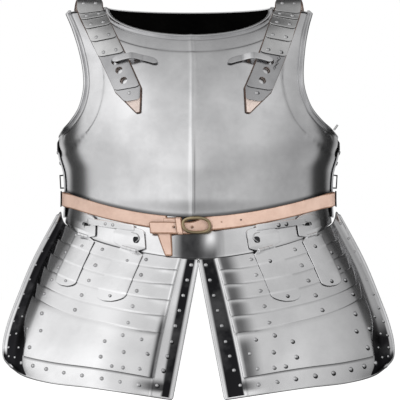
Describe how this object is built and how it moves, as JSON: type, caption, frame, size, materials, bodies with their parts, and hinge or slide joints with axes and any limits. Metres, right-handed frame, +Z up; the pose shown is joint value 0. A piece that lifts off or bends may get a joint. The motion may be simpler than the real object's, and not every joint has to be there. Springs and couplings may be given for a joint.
{
  "type": "cuirass with tassets",
  "caption": "Polished steel cuirass: ridged breastplate, backplate, scaled leather shoulder straps, waist belt, skirt and two hinged thigh plates.",
  "frame": {"origin": "middle of the shoulder line, between the two shoulder straps, where the cuirass hangs on its wearer's shoulders", "axes": "+X to the wearer's left, -Y to the front, +Z up"},
  "size_m": [0.6226, 0.3498, 0.6387],
  "materials": {
    "polished_steel": "polished, faint vertical grain",
    "fittings_steel": "worn satin",
    "dark_steel": "dark, unpolished",
    "tan_leather": "vegetable tanned, brown edges",
    "brass": "dull"
  },
  "bodies": {
    "cuirass": {"armhole_stud": "fittings_steel", "backplate": "polished_steel", "belt_keeper": "tan_leather", "belt_left": "tan_leather", "belt_right": "tan_leather", "belt_tab_left": "dark_steel", "belt_tab_right": "dark_steel", "belt_tip": "tan_leather", "breastplate": "polished_steel", "buckle_frame": "brass", "catch_bar_left": "fittings_steel", "catch_bar_right": "fittings_steel", "hinge_pin_left_inner": "fittings_steel", "hinge_pin_left_outer": "fittings_steel", "hinge_pin_right_inner": "fittings_steel", "hinge_pin_right_outer": "fittings_steel", "hinge_upper_left_inner": "fittings_steel", "hinge_upper_left_outer": "fittings_steel", "hinge_upper_right_inner": "fittings_steel", "hinge_upper_right_outer": "fittings_steel", "side_loop_left": "dark_steel", "side_loop_right": "dark_steel", "skirt": "polished_steel", "strap_leather_left": "tan_leather", "strap_leather_right": "tan_leather", "strap_scale_left_end": "fittings_steel", "strap_scale_left_fifth": "fittings_steel", "strap_scale_left_first": "fittings_steel", "strap_scale_left_fourth": "fittings_steel", "strap_scale_left_pierced": "fittings_steel", "strap_scale_left_second": "fittings_steel", "strap_scale_left_third": "fittings_steel", "strap_scale_right_end": "fittings_steel", "strap_scale_right_fifth": "fittings_steel", "strap_scale_right_first": "fittings_steel", "strap_scale_right_fourth": "fittings_steel", "strap_scale_right_pierced": "fittings_steel", "strap_scale_right_second": "fittings_steel", "strap_scale_right_third": "fittings_steel", "swivel_hook_left": "fittings_steel", "swivel_hook_right": "fittings_steel"},
    "tasset_right": {"tasset_right": "polished_steel", "hinge_lower_right_outer": "fittings_steel", "hinge_lower_right_inner": "fittings_steel"},
    "tasset_left": {"tasset_left": "polished_steel", "hinge_lower_left_outer": "fittings_steel", "hinge_lower_left_inner": "fittings_steel"}
  },
  "joints": [
    {"name": "tasset_right_hinge", "type": "hinge", "parent": "cuirass", "child": "tasset_right", "pos_m": [-0.09434, -0.14308, -0.39006], "axis": [-0.7624, 0.6104, 0.2149], "range_deg": [0, 75]},
    {"name": "tasset_left_hinge", "type": "hinge", "parent": "cuirass", "child": "tasset_left", "pos_m": [0.12355, -0.14297, -0.38938], "axis": [-0.7613, -0.612, -0.2142], "range_deg": [0, 75]}
  ]
}
